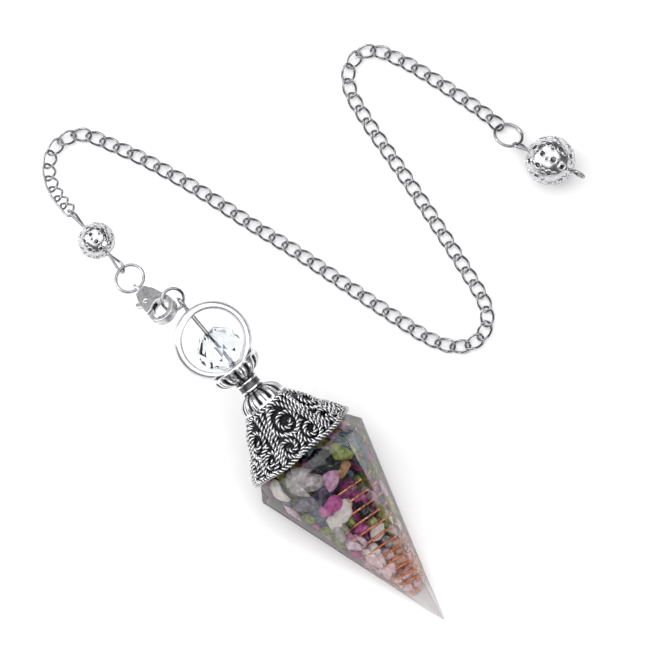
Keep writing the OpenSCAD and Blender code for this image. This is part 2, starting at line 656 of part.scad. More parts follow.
// Its first points follow the pierced ball that it hangs from, and those on the surface stay.
falling_points = 7;
chain_shift = chain_start_at - CHAIN_ROUTE[0];
function route_at(i) =
    let (k = max(0, min(len(CHAIN_ROUTE) - 1, i)))
    CHAIN_ROUTE[k] + max(0, 1 - k / falling_points) * chain_shift;
function curve_point(i, s) =
    let (a = route_at(i - 1), b = route_at(i), c = route_at(i + 1), d = route_at(i + 2))
    0.5 * (2 * b + (c - a) * s + (2 * a - 5 * b + 4 * c - d) * s * s + (3 * b - a - 3 * c + d) * s * s * s);
CURVE = concat(
    [for (i = [0:len(CHAIN_ROUTE) - 2], k = [0:curve_steps - 1]) curve_point(i, k / curve_steps)],
    [route_at(len(CHAIN_ROUTE) - 1)]
);
STEP_LENGTHS = [for (i = [1:len(CURVE) - 1]) norm(CURVE[i] - CURVE[i - 1])];
function running(list, i = 0, sum = 0) = i > len(list) ? [] :
    concat([sum], running(list, i + 1, sum + (i < len(list) ? list[i] : 0)));
ALONG = running(STEP_LENGTHS);
chain_length = ALONG[len(ALONG) - 1];
link_count = round(chain_length / link_pitch) + 1;

function on_curve(distance) = [for (axis = [0:2])
    lookup(distance, [for (i = [0:len(CURVE) - 1]) [ALONG[i], CURVE[i][axis]]])];
function link_place(i) = on_curve(chain_length * i / (link_count - 1));
function link_way(i) = unit(on_curve(min(chain_length, chain_length * (i + 0.4) / (link_count - 1)))
    - on_curve(max(0, chain_length * (i - 0.4) / (link_count - 1))));

link_steps = 12;
link_sides = 5;
// The middle of a link's wire: a long loop whose two ends are twisted against each other.
function link_middle(a) = [link_len / 2 * cos(a), link_w / 2 * sin(a), link_twist * sin(2 * a)];
LINK_POINTS = [for (k = [0:link_steps - 1])
    let (a = 360 * k / link_steps)
    let (way = unit(link_middle(a + 1) - link_middle(a - 1)))
    each wire_ring(link_middle(a), way, chain_wire_d / 2, link_sides)];
link_size = link_steps * link_sides;

function placed_link(i) =
    let (p = link_place(i), t = link_way(i), s = unit(cross([0, 0, 1], t)), u = cross(t, s))
    [for (q = LINK_POINTS) p + q[0] * t + q[1] * s + q[2] * u];

module chain() {
    points = [for (i = [0:link_count - 1]) each placed_link(i)];
    faces = [for (i = [0:link_count - 1]) each loop_faces(link_steps, link_sides, true, i * link_size)];
    color("silver") polyhedron(points, faces);
}

resin_point();
gem_chips();
copper_coil();
bell_cap();
lower_flower_cap();
spacer_ring();
upper_flower_cap();
frame_ring();
glass_bead();
long_pin();
small_ring();
clasp_body();
clasp_lever();
front_ring();
small_ball();
small_ball_pin();
chain();
end_ring();
large_ball();
large_ball_pin();
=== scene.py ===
# %% [markdown]
# # A resin pendulum pendant on a curb chain
# The CAD model gives every piece its place and size in one shared frame. This lesson dresses it:
# fine rope scrollwork on the bell, stone chips and copper wire in clear resin, a cut glass bead,
# pierced balls, and a chain of rounded links, all on a plain pale surface under soft light.

# %% Load the frame
import math

import bpy
import bmesh
from mathutils import Matrix, Quaternion, Vector, noise


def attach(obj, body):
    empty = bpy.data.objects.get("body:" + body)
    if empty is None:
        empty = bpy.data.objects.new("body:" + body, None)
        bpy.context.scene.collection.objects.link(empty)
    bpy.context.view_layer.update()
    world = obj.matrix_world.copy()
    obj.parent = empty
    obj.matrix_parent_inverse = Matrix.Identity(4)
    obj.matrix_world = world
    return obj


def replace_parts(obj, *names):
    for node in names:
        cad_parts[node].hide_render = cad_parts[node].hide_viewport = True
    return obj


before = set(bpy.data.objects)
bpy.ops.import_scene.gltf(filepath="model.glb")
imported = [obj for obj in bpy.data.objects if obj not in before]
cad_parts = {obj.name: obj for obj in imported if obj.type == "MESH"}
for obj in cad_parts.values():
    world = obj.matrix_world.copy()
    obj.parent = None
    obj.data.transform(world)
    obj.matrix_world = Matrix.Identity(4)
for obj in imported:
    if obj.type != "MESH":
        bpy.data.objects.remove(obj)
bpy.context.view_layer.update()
BODY = "pendant"
MM = 0.001

# %% [markdown]
# ## Sizes
# The main sizes are those of the CAD model, in millimetres. The pendant has a frame of its own:
# X runs from the resin tip to the eye at the other end, and one facet lies underneath. SEAT is the
# small gap between pieces that sit on each other. The hoop is a wide and a narrow arc with straight
# bands between, and the upper flower cap is just wide enough for the part that sinks into it.

# %% Sizes and the two frames
POINT_R, POINT_LEN, BEVEL_LEN, BEVEL_IN = 12.3, 39.5, 3.0, 2.0
SIDES = 6
PENDANT_YAW, TIP_TO_ORIGIN = 131, 26
APOTHEM = math.cos(math.pi / SIDES)
TILT = math.atan(POINT_R * APOTHEM / POINT_LEN)
SEAT = 0.15
BASE_X = POINT_LEN + BEVEL_LEN
BELL_X, BELL_H, BELL_RIM_R, BELL_TOP_R, BELL_WALL = BASE_X + SEAT, 10.6, 11.1, 4.2, 0.9
BELL_SHAPE = [(0, 1), (0.22, 0.77), (0.42, 0.56), (0.75, 0.28), (1, 0)]
FLOWER_R, WAIST_R, FLOWER_H, FLOWER_WALL, PETALS = 4.6, 2.1, 3.5, 0.6, 12
SPACER_H = 2.0
LOWER_FLOWER_X = BELL_X + BELL_H + SEAT
SPACER_X = LOWER_FLOWER_X + FLOWER_H + SEAT
UPPER_FLOWER_X = SPACER_X + SPACER_H + SEAT
FRAME_R, FRAME_LOW_R, FRAME_STRETCH, FRAME_BAND, FRAME_DEPTH = 7.4, 5.6, 2.3, 1.5, 3.0
FRAME_SINK, FRAME_EASE = 1.85, 0.3
FRAME_X = UPPER_FLOWER_X + FLOWER_H - FRAME_SINK + FRAME_LOW_R + FRAME_STRETCH
FRAME_SLOPE = math.asin((FRAME_R - FRAME_LOW_R) / FRAME_STRETCH)
ARC_RISE = FRAME_LOW_R * (1 - math.sin(FRAME_SLOPE))
ARC_CHORD = math.sqrt(FRAME_LOW_R ** 2 - (FRAME_LOW_R - min(FRAME_SINK, ARC_RISE)) ** 2)
FRAME_CHORD = ARC_CHORD + max(FRAME_SINK - ARC_RISE, 0) * math.tan(FRAME_SLOPE)
UPPER_FLOWER_R = math.hypot(FRAME_CHORD, FRAME_DEPTH / 2 - 2 * FRAME_EASE) + SEAT + FLOWER_WALL
GLASS_R, GLASS_LEN, GLASS_SIDES = 4.4, 7.7, 8
GLASS_END = 0.4
GLASS_SEAT = math.sqrt((FRAME_LOW_R - FRAME_BAND) ** 2 - (GLASS_END * GLASS_R) ** 2)
GLASS_X = FRAME_X - FRAME_STRETCH - GLASS_SEAT + SEAT + GLASS_LEN / 2
PIN_D, PIN_CLEAR = 0.8, 0.15
PIN_HOLE_R = PIN_D / 2 + PIN_CLEAR


def turned(at, yaw, pitch, roll=0):
    """A piece's frame: it faces along +X, rolls, rises and swings round, then moves to its place."""
    turn = [Matrix.Rotation(math.radians(a), 4, axis) for a, axis in ((yaw, "Z"), (-pitch, "Y"), (roll, "X"))]
    return Matrix.Translation(Vector(at)) @ turn[0] @ turn[1] @ turn[2]


ON_FACET = Matrix.Rotation(math.radians(PENDANT_YAW), 4, "Z")
ON_FACET = ON_FACET @ Matrix.Translation((-TIP_TO_ORIGIN, 0, 0)) @ Matrix.Rotation(-TILT, 4, "Y")
print("tilt of the axis:", round(math.degrees(TILT), 2), "degrees")

# %% [markdown]
# ## Node helpers
# One small function adds a shader node with its settings and links, so that each material below
# reads as a short list of what it is made of. Colours are given as sRGB hex values.

# %% Material helpers
def rgb(code):
    """A linear colour from an sRGB hex code."""
    parts = [int(code[i:i + 2], 16) / 255 for i in (0, 2, 4)]
    return tuple(c / 12.92 if c <= 0.04045 else ((c + 0.055) / 1.055) ** 2.4 for c in parts) + (1.0,)


def add(tree, kind, settings=None, links=None):
    """Adds a node, sets its values and links its inputs to other sockets."""
    node = tree.nodes.new(kind)
    for key, value in (settings or {}).items():
        if isinstance(key, int) or key in node.inputs:
            node.inputs[key].default_value = value
        else:
            setattr(node, key, value)
    for key, socket in (links or {}).items():
        tree.links.new(socket, node.inputs[key])
    return node


def material(name, **values):
    """A new Principled material and its shader node, with uniform values set on its own sockets."""
    mat = bpy.data.materials.new(name)
    mat.use_nodes = True
    shader = mat.node_tree.nodes["Principled BSDF"]
    for key, value in values.items():
        shader.inputs[key.replace("_", " ")].default_value = value
    return mat, mat.node_tree, shader


def object_noise(tree, scale_mm, detail=3.0):
    """Noise in the object's own coordinates, with features of about scale_mm."""
    coords = add(tree, "ShaderNodeTexCoord")
    return add(tree, "ShaderNodeTexNoise", {"Scale": 1 / (scale_mm * MM), "Detail": detail},
               {"Vector": coords.outputs["Object"]})


def ramp(tree, socket, *stops):
    """A colour ramp over (place, colour) stops."""
    node = add(tree, "ShaderNodeValToRGB", links={"Fac": socket})
    while len(node.color_ramp.elements) < len(stops):
        node.color_ramp.elements.new(0.5)
    for element, (place, colour) in zip(node.color_ramp.elements, stops):
        element.position, element.color = place, colour
    return node


# %% [markdown]
# ## Materials
# All the metal but the coil is silver plate, in copies of different brightness. Their base colours
# are set below silver's own, which paints shade into what they mirror: most in the drawn wire and the
# chain, less in the cast clasp and the stamped balls. The wide flat band is the lit copy, kept bright
# because its face mirrors the soft light, and looks almost white. Drawn wire is smooth and mirrors dark
# and bright in thin lines; cast and stamped pieces are a little rougher. The bell and the flower caps
# are plate blackened in the recesses: an attribute on the mesh says how far each point stands out of
# them. The resin and the bead refract, so what is inside shows through their facets.

# %% Metals
def silver(name, rough, dull, bright):
    """Silver plate whose tone and gloss vary a little over half a millimetre."""
    mat, tree, shader = material(name, Metallic=1.0)
    grain = object_noise(tree, 0.6)
    tone = ramp(tree, grain.outputs["Fac"], (0.3, rgb(dull)), (0.7, rgb(bright)))
    tree.links.new(tone.outputs["Color"], shader.inputs["Base Color"])
    spread = add(tree, "ShaderNodeMapRange", {"To Min": rough * 0.8, "To Max": rough * 1.3},
                 {"Value": grain.outputs["Fac"]})
    tree.links.new(spread.outputs["Result"], shader.inputs["Roughness"])
    return mat


def antique(name):
    """Silver that is black where the relief attribute is 0 and bright where it is 1."""
    mat, tree, shader = material(name, Metallic=1.0)
    depth = add(tree, "ShaderNodeAttribute", {"attribute_name": "relief"})
    grain = object_noise(tree, 0.35)
    mixed = add(tree, "ShaderNodeMath", {"operation": "MULTIPLY_ADD", 1: 0.35},
                {0: grain.outputs["Fac"], 2: depth.outputs["Fac"]})
    tone = ramp(tree, mixed.outputs["Value"],
                (0.2, rgb("1C1C1E")), (0.5, rgb("7C7C80")), (0.9, rgb("F2F2F3")))
    tree.links.new(tone.outputs["Color"], shader.inputs["Base Color"])
    rough = add(tree, "ShaderNodeMapRange", {"From Max": 1.2, "To Min": 0.5, "To Max": 0.18},
                {"Value": mixed.outputs["Value"]})
    tree.links.new(rough.outputs["Result"], shader.inputs["Roughness"])
    return mat


# Plated drawn wire: sharp reflections. Its base colour is set well below silver's: painted shade, so that the
# reflections read grey, darkest where they are of the dim room.
POLISHED = silver("polished_silver_plate", 0.1, "88888B", "B2B2B5")
# The same wire with a base colour darker still, all over: painted shade, standing in for the shade among the
# many small links.
CHAIN_METAL = silver("chain_silver_plate", 0.1, "7C7C80", "A6A6A9")
# A rolled band with soft reflections, in the lit copy of the silver: painted light, brighter than the others
# because its flat face mirrors the light overhead.
HOOP_METAL = silver("bright_silver_plate", 0.3, "DADADC", "EFEFF0")
# Zinc casting, tumbled and plated: soft grey, its base colour set below silver's, painted shade for darker
# edges.
CLASP_METAL = silver("cast_silver_plate", 0.28, "B4B4B7", "D8D8DA")
# Thin stamped sheet, plated, with dark holes: bright, though its base colour is set a little below silver's,
# which paints in some shade.
BALL_METAL = silver("stamped_silver_plate", 0.2, "BCBCBF", "DADADC")
# Plate that was blackened and then rubbed: black grooves and shining edges.
ANTIQUE = antique("oxidised_silver_plate")
# Bare drawn copper: a warm gloss.
COPPER, copper_tree, copper_shader = material("bright_copper", Metallic=1.0, Roughness=0.22)
copper_tone = ramp(copper_tree, object_noise(copper_tree, 0.5).outputs["Fac"],
                   (0.3, rgb("C4724F")), (0.7, rgb("F0AE8A")))
copper_tree.links.new(copper_tone.outputs["Color"], copper_shader.inputs["Base Color"])
print("metals:", [m.name for m in (POLISHED, CHAIN_METAL, HOOP_METAL, CLASP_METAL, BALL_METAL,
                                  ANTIQUE, COPPER)])

# %% Resin, glass and stone
def clear(name, colour, ior, rough, bump_mm, bump_strength):
    """A clear solid that refracts. Its faces may ripple slightly, as a cast one's do."""
    mat, tree, shader = material(name, Roughness=rough, IOR=ior)
    shader.inputs["Transmission Weight"].default_value = 1.0
    shader.inputs["Base Color"].default_value = rgb(colour)
    ripple = add(tree, "ShaderNodeBump", {"Strength": bump_strength, "Distance": 0.05 * MM},
                 {"Height": object_noise(tree, bump_mm).outputs["Fac"]})
    tree.links.new(ripple.outputs["Normal"], shader.inputs["Normal"])
    return mat


# Cast acrylic resin: glossy, with facets that aren't quite flat.
RESIN = clear("clear_resin", "FFFCFD", 1.49, 0.02, 3.0, 0.1)
# Ground and polished glass: flat facets that flash.
CUT_GLASS = clear("clear_cut_glass", "F1F4F8", 1.52, 0.0, 2.0, 0.0)


def stone(name):
    """Tumbled stone: each chip carries its own colour, and veins run through it."""
    mat, tree, shader = material(name, Roughness=0.18)
    tint = add(tree, "ShaderNodeAttribute", {"attribute_name": "tint"})
    veins = object_noise(tree, 0.9, 6.0)
    mixed = add(tree, "ShaderNodeMix", {"data_type": "RGBA", "blend_type": "SOFT_LIGHT", 0: 0.8})
    shade = ramp(tree, veins.outputs["Fac"], (0.32, rgb("5A5A5A")), (0.66, rgb("FFFFFF")))
    tree.links.new(tint.outputs["Color"], mixed.inputs[6])
    tree.links.new(shade.outputs["Color"], mixed.inputs[7])
    tree.links.new(mixed.outputs[2], shader.inputs["Base Color"])
    shader.inputs["Subsurface Weight"].default_value = 0.04
    shader.inputs["Subsurface Scale"].default_value = 0.6 * MM
    return mat


STONE = stone("tumbled_stone")
print("clear and stone:", RESIN.name, CUT_GLASS.name, STONE.name)

# %% [markdown]
# ## Mesh helpers
# Each piece is a plain mesh at the origin with its place in its points. A lathe turns a profile
# about the pendant's axis. Tubes follow a path with a Geometry Nodes group whose inputs are the
# wire's radius, the pitch of its twist, the length of a step, the depth of its lobes, the number of
# points in its section, and its material.

# %% Mesh helpers
def new_object(name, data):
    obj = bpy.data.objects.new(name, data)
    bpy.context.collection.objects.link(obj)
    return obj


def applied(obj, name):
    """The object with its modifiers worked out, as a new object with a plain mesh."""
    graph = bpy.context.evaluated_depsgraph_get()
    mesh = bpy.data.meshes.new_from_object(obj.evaluated_get(graph), depsgraph=graph)
    bpy.data.objects.remove(obj)
    return new_object(name, mesh)


def in_metres(matrix, points):
    return [matrix @ Vector(p) * MM for p in points]


def piece(name, points, faces, matrix, mat, smooth=True, replaced=(), body=BODY):
    """Makes a piece from points in millimetres."""
    mesh = bpy.data.meshes.new(name)
    mesh.from_pydata(in_metres(matrix, points), [], faces)
    return finish_piece(new_object(name, mesh), mat, smooth, replaced, body)


def finish_piece(obj, mat, smooth=True, replaced=(), body=BODY):
    mesh = obj.data
    bm = bmesh.new()
    bm.from_mesh(mesh)
    bmesh.ops.recalc_face_normals(bm, faces=bm.faces)
    bm.to_mesh(mesh)
    bm.free()
    mesh.materials.clear()
    mesh.materials.append(mat)
    mesh.polygons.foreach_set("use_smooth", [smooth] * len(mesh.polygons))
    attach(obj, body)
    if replaced:
        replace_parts(obj, *replaced)
    print(obj.name, len(mesh.polygons), "faces")
    return obj


def lathe(profile, steps, wave=None):
    """Turns a closed profile of (along, radius) points about X. wave() can move a point's radius."""
    points, faces = [], []
    n = len(profile)
    for k in range(steps):
        angle = 2 * math.pi * k / steps
        for along, radius in profile:
            r = wave(angle, along, radius) if wave else radius
            points.append((along, r * math.cos(angle), r * math.sin(angle)))
    for k in range(steps):
        for i in range(n):
            a, b = k * n, ((k + 1) % steps) * n
            faces.append((a + i, b + i, b + (i + 1) % n, a + (i + 1) % n))
    return points, faces


def rounded(profile, radius, steps=3):
    """Rounds the corners of a closed profile."""
    out = []
    n = len(profile)
    for i in range(n):
        p, a, b = Vector(profile[i]), Vector(profile[i - 1]), Vector(profile[(i + 1) % n])
        cut = min(radius, (a - p).length * 0.45, (b - p).length * 0.45)
        start, end = p + (a - p).normalized() * cut, p + (b - p).normalized() * cut
        for s in range(steps + 1):
            t = s / steps
            out.append(tuple(start * (1 - t) ** 2 + p * 2 * t * (1 - t) + end * t * t))
    return out


def smooth_line(points, steps):
    """A smooth open curve through the points."""
    pts = [Vector(p) for p in points]
    last = len(pts) - 1
    out = []
    for i in range(last):
        a, b, c, d = (pts[max(0, min(last, i + k))] for k in (-1, 0, 1, 2))
        for k in range(steps):
            s = k / steps
            out.append(0.5 * (2 * b + (c - a) * s + (2 * a - 5 * b + 4 * c - d) * s * s
                              + (3 * b - a - 3 * c + d) * s ** 3))
    return out + [pts[-1]]


# %% Geometry Nodes: start and end of a group
def new_group(name, inputs):
    """A Geometry Nodes group with named inputs: its tree, its input node and each input's identifier."""
    group = bpy.data.node_groups.new(name, "GeometryNodeTree")
    sockets = [group.interface.new_socket(key, in_out="INPUT", socket_type="NodeSocket" + kind)
               for key, kind in {"Geometry": "Geometry", **inputs}.items()]
    group.interface.new_socket("Geometry", in_out="OUTPUT", socket_type="NodeSocketGeometry")
    return group, add(group, "NodeGroupInput"), {socket.name: socket.identifier for socket in sockets}


def close_group(group, start, geometry):
    """Ends a group: instances become real mesh, which gets the group's material."""
    real = add(group, "GeometryNodeRealizeInstances", links={"Geometry": geometry})
    painted = add(group, "GeometryNodeSetMaterial",
                  links={"Geometry": real.outputs["Geometry"], "Material": start.outputs["Material"]})
    add(group, "NodeGroupOutput", links={"Geometry": painted.outputs["Geometry"]})


def run_group(obj, group, keys, values, name):
    """Puts a group on an object with its inputs set, and gives the result as a plain mesh object."""
    nodes = obj.modifiers.new("nodes", "NODES")
    nodes.node_group = group
    for key, value in values.items():
        nodes[keys[key]] = value
    return applied(obj, name)


# %% Geometry Nodes: wire and rope along a path
def tube_group():
    """Curve to a twisted rope: a lobed section is swept along, and its tilt grows with the length."""
    group, start, keys = new_group("wire_or_rope", {
        "Wire radius": "Float", "Twist pitch": "Float", "Step length": "Float", "Lobe depth": "Float",
        "Section points": "Int", "Material": "Material"})
    even = add(group, "GeometryNodeResampleCurve", {"mode": "LENGTH"},
               {"Curve": start.outputs["Geometry"], "Length": start.outputs["Step length"]})
    along = add(group, "GeometryNodeSplineParameter")
    turns = add(group, "ShaderNodeMath", {"operation": "DIVIDE"},
                {0: along.outputs["Length"], 1: start.outputs["Twist pitch"]})
    tilt = add(group, "ShaderNodeMath", {"operation": "MULTIPLY", 1: 2 * math.pi},
               {0: turns.outputs["Value"]})
    twisted = add(group, "GeometryNodeSetCurveTilt",
                  links={"Curve": even.outputs["Curve"], "Tilt": tilt.outputs["Value"]})
    ring = add(group, "GeometryNodeCurvePrimitiveCircle", links={
        "Resolution": start.outputs["Section points"], "Radius": start.outputs["Wire radius"]})
    where = add(group, "GeometryNodeInputPosition")
    parts = add(group, "ShaderNodeSeparateXYZ", links={"Vector": where.outputs["Position"]})
    flat = add(group, "ShaderNodeMath", {"operation": "MULTIPLY"},
               {0: parts.outputs["Y"], 1: start.outputs["Lobe depth"]})
    shaped = add(group, "ShaderNodeCombineXYZ", links={"X": parts.outputs["X"], "Y": flat.outputs["Value"]})
    section = add(group, "GeometryNodeSetPosition",
                  links={"Geometry": ring.outputs["Curve"], "Position": shaped.outputs["Vector"]})
    reach = add(group, "ShaderNodeMath", {"operation": "DIVIDE"},
                {0: parts.outputs["X"], 1: start.outputs["Wire radius"]})
    crest = add(group, "ShaderNodeMath", {"operation": "MULTIPLY"},
                {0: reach.outputs["Value"], 1: reach.outputs["Value"]})
    marked = add(group, "GeometryNodeStoreNamedAttribute", {"Name": "relief", "data_type": "FLOAT"},
                 {"Geometry": section.outputs["Geometry"], "Value": crest.outputs["Value"]})
    tube = add(group, "GeometryNodeCurveToMesh", {"Fill Caps": True},
               {"Curve": twisted.outputs["Curve"], "Profile Curve": marked.outputs["Geometry"]})
    close_group(group, start, tube.outputs["Mesh"])
    return group, keys


TUBES, TUBE_KEYS = tube_group()
NO_TWIST = 1e6


def swept(name, paths, wire_d, mat, step, sides, pitch=NO_TWIST, lobe=1.0):
    """Wires or ropes along paths of (points, closed) in metres, as one plain mesh."""
    curve = bpy.data.curves.new(name + "_path", "CURVE")
    curve.dimensions = "3D"
    for points, closed in paths:
        spline = curve.splines.new("POLY")
        spline.points.add(len(points) - 1)
        spline.points.foreach_set("co", [c for p in points for c in (*p, 1.0)])
        spline.use_cyclic_u = closed
    values = {"Wire radius": wire_d / 2 * MM, "Twist pitch": pitch * MM, "Step length": step * MM,
              "Lobe depth": lobe, "Section points": sides, "Material": mat}
    return run_group(new_object(name + "_path", curve), TUBES, TUBE_KEYS, values, name)


print("tube group inputs:", sorted(TUBE_KEYS))

# %% [markdown]
# ## Resin point
# A cast hexagonal cone. The real one is poured in a mould, so its edges are slightly eased and its
# facets are flat and glossy. It is one clear solid, and the chips and the coil lie in it.

# %% Resin point
def hexagon(along, radius):
    return [(along, radius * math.cos(math.radians(60 * k)), radius * math.sin(math.radians(60 * k)))
            for k in range(SIDES)]


TIP_AT, EDGE_EASE = (0.48, 0.15), 0.12


def resin_point():
    rings = [TIP_AT, (POINT_LEN, POINT_R), (BASE_X, POINT_R - BEVEL_IN)]
    points = [p for along, radius in rings for p in hexagon(along, radius)]
    faces = [tuple(range(SIDES))[::-1], tuple(range(2 * SIDES, 3 * SIDES))]
    for r in range(2):
        for k in range(SIDES):
            a, b = r * SIDES + k, r * SIDES + (k + 1) % SIDES
            faces.append((a, b, b + SIDES, a + SIDES))
    obj = piece("resin_body", points, faces, ON_FACET, RESIN, False, ["resin_point"])
    bm = bmesh.new()
    bm.from_mesh(obj.data)
    bmesh.ops.bevel(bm, geom=bm.edges[:], offset=EDGE_EASE * MM, segments=2, profile=0.5, affect="EDGES")
    bm.to_mesh(obj.data)
    bm.free()


resin_point()

# %% [markdown]
# ## Stone chips
# Tumbled chips packed in the resin, in the colours of mixed tourmaline: pinks, olive, milky white,
# slate and near black, and only pale ones near the tip. Places come from a rule with a fixed seed that
# keeps neighbours apart, and Geometry Nodes instances irregular stones there, with their own turn, size
# and colour. Each lies with its flat side outwards, so that the chips fill the resin to its facets.

# %% Places for the chips
import random

random.seed(5)
# CHIP_LOW, CHIP_HIGH and PALE_BELOW are millimetres from the tip. A chip's size is the radius of the
# ball that it is made from, before that is cut and stretched, and is less where the resin is narrow.
CHIP_WALL = 0.55
CHIP_LOW, CHIP_HIGH = 8.5, POINT_LEN - 0.2
CHIP_SMALLEST, CHIP_LARGEST = 2.0, 3.3
CHIP_TRIES = 26000
COIL_LOW, COIL_HIGH = 9.5, 33.0
COIL_TURNS, COIL_LOW_R, COIL_HIGH_R, COIL_WIRE = 12, 1.2, 4.7, 0.5
CHIP_COLOURS = [("B0568F", 7), ("86406F", 5), ("C79ABA", 7), ("7F8B4E", 5), ("AEB07A", 4), ("E6E0D8", 5),
                ("A39FA0", 3), ("1C2328", 6), ("46606C", 5), ("A67E58", 6), ("645F72", 4), ("DCC2D0", 5)]
PALE_COLOURS, PALE_BELOW = ["EBCFD3", "E0B9C0", "D9AE98"], 19


def room_at(along):
    """Radius across the flats that is free inside the resin."""
    cone = POINT_R * APOTHEM * along / POINT_LEN
    bevel = (POINT_R - BEVEL_IN * max(0.0, along - POINT_LEN) / BEVEL_LEN) * APOTHEM
    return min(cone, bevel) - CHIP_WALL


def hides_coil(along, angle, radius, size):
    """Whether a chip would cut through the coil or hide it from the upper right, where it shows bare."""
    share = (along - COIL_LOW) / (COIL_HIGH - COIL_LOW)
    if not -0.15 < share < 1.12:
        return False
    inside = radius + 0.75 * size < COIL_LOW_R + (COIL_HIGH_R - COIL_LOW_R) * share
    return not inside and math.cos(angle) < 1.0 - 0.55 * share and math.sin(angle) > -0.3


def chip_places():
    """Random places, each clear of those before it by a share of both sizes."""
    places = []
    for _ in range(CHIP_TRIES):
        along = CHIP_LOW + (CHIP_HIGH - CHIP_LOW) * random.random() ** 0.55
        size = random.uniform(CHIP_SMALLEST, CHIP_LARGEST) * min(1.0, 0.25 + room_at(along) / 9.5)
        reach = room_at(along - 0.7 * size) - 0.52 * size
        if reach <= 0.1:
            continue
        angle, radius = random.uniform(0, 2 * math.pi), reach * math.sqrt(random.random())
        if hides_coil(along, angle, radius, size):
            continue
        out = Vector((0, math.cos(angle), math.sin(angle)))
        spot = out * radius + Vector((along, 0, 0))
        if all((spot - other).length > 0.6 * (size + s) for other, s, turn in places):
            lying = out.to_track_quat("Z", "Y") @ Quaternion((0, 0, 1), random.uniform(0, 2 * math.pi))
            places.append((spot, size, lying))
    return places


PLACES = chip_places()
print("chips:", len(PLACES))

# %% Geometry Nodes: chips on points
def chip_stones(kinds=7):
    """A few irregular stones, each a roughened ball pulled out of round."""
    stones = bpy.data.collections.new("chip_stones")
    for k in range(kinds):
        bm = bmesh.new()
        bmesh.ops.create_icosphere(bm, subdivisions=3, radius=1.0)
        stretch = Vector((random.uniform(1.0, 1.35), random.uniform(0.65, 0.85), random.uniform(0.5, 0.7)))
        cuts = [Vector((random.gauss(0, 1), random.gauss(0, 1), random.gauss(0, 1))).normalized()
                for _ in range(9)]
        for v in bm.verts:
            for c in cuts:
                over = v.co.dot(c) - 0.72
                if over > 0:
                    v.co -= c * over * 0.85
            v.co *= 1 + 0.10 * noise.noise(v.co * 2.2 + Vector((9 * k, 0, 0)))
            v.co = Vector(a * b for a, b in zip(v.co, stretch))
        mesh = bpy.data.meshes.new(f"stone_{k}")
        bm.to_mesh(mesh)
        bm.free()
        mesh.polygons.foreach_set("use_smooth", [True] * len(mesh.polygons))
        stones.objects.link(bpy.data.objects.new(f"stone_{k}", mesh))
    return stones


def chip_group():
    """One of the stones at each point, turned and scaled by the point's attributes."""
    group, start, keys = new_group("chips_on_points", {"Stones": "Collection", "Material": "Material"})
    kinds = add(group, "GeometryNodeCollectionInfo", {"Separate Children": True, "Reset Children": True},
                {"Collection": start.outputs["Stones"]})
    turn = add(group, "GeometryNodeInputNamedAttribute", {"data_type": "FLOAT_VECTOR", "Name": "turn"})
    size = add(group, "GeometryNodeInputNamedAttribute", {"data_type": "FLOAT", "Name": "size"})
    placed = add(group, "GeometryNodeInstanceOnPoints", {"Pick Instance": True}, {
        "Points": start.outputs["Geometry"], "Instance": kinds.outputs["Instances"],
        "Rotation": turn.outputs[0], "Scale": size.outputs[0]})
    close_group(group, start, placed.outputs["Instances"])
    return group, keys


# %% Stone chips
def stone_chips():
    cloud = bpy.data.meshes.new("gem_chip_points")
    cloud.from_pydata([ON_FACET @ spot * MM for spot, size, turn in PLACES], [], [])
    sizes = cloud.attributes.new("size", "FLOAT", "POINT")
    sizes.data.foreach_set("value", [size * MM for spot, size, turn in PLACES])
    turns = cloud.attributes.new("turn", "FLOAT_VECTOR", "POINT")
    lying = [(ON_FACET.to_quaternion() @ turn).to_euler("XYZ") for spot, size, turn in PLACES]
    turns.data.foreach_set("vector", [a for euler in lying for a in euler])
    tints = cloud.attributes.new("tint", "FLOAT_COLOR", "POINT")
    codes = [code for code, share in CHIP_COLOURS for _ in range(share)]
    picks = [rgb(random.choice(PALE_COLOURS if spot.x < PALE_BELOW else codes))
             for spot, size, turn in PLACES]
    tints.data.foreach_set("color", [c for pick in picks for c in pick])
    values = {"Stones": chip_stones(), "Material": STONE}
    chips = run_group(new_object("gem_chip_points", cloud), *chip_group(), values, "stone_chips")
    finish_piece(chips, STONE, True, ["gem_chips"])


stone_chips()

# %% [markdown]
# ## Copper coil
# One wire wound in a widening helix, as over a cone, and cast in the resin with the chips.

# %% Copper coil
def coil_point(share):
    along = COIL_LOW + (COIL_HIGH - COIL_LOW) * (0.78 * share + 0.22 * share * share)
    radius = COIL_LOW_R + (COIL_HIGH_R - COIL_LOW_R) * (along - COIL_LOW) / (COIL_HIGH - COIL_LOW)
    angle = 2 * math.pi * COIL_TURNS * share
    return along, radius * math.cos(angle), -radius * math.sin(angle)


coil_path = in_metres(ON_FACET, [coil_point(k / 600) for k in range(601)])
coil = swept("coil_wire", [(coil_path, False)], COIL_WIRE, COPPER, step=0.35, sides=10)
finish_piece(coil, COPPER, True, ["copper_coil"])

# %% [markdown]
# ## Bell cap
# A cast bell with six panels. Each has an arch of twisted rope wire round three scrolls, on a dark
# ground. The bell is a lathe; the ropes are swept along paths that lie on its surface.

# %% Lines on the bell
PANELS, ROPE_D, ROPE_PITCH, ROPE_LOBE = 6, 0.98, 1.7, 0.55
# Each scroll's place across and up its panel, its size as a share of the bell's height, and its hand.
SCROLLS = [(0, 0.6, 0.29, 1), (-0.25, 0.23, 0.235, -1), (0.25, 0.23, 0.235, 1)]
SCROLL_STEPS, SCROLL_STEP_DEG, SCROLL_IN = 40, 16, 0.82
ARCH_WIDE, ARCH_TALL = 172, 0.92


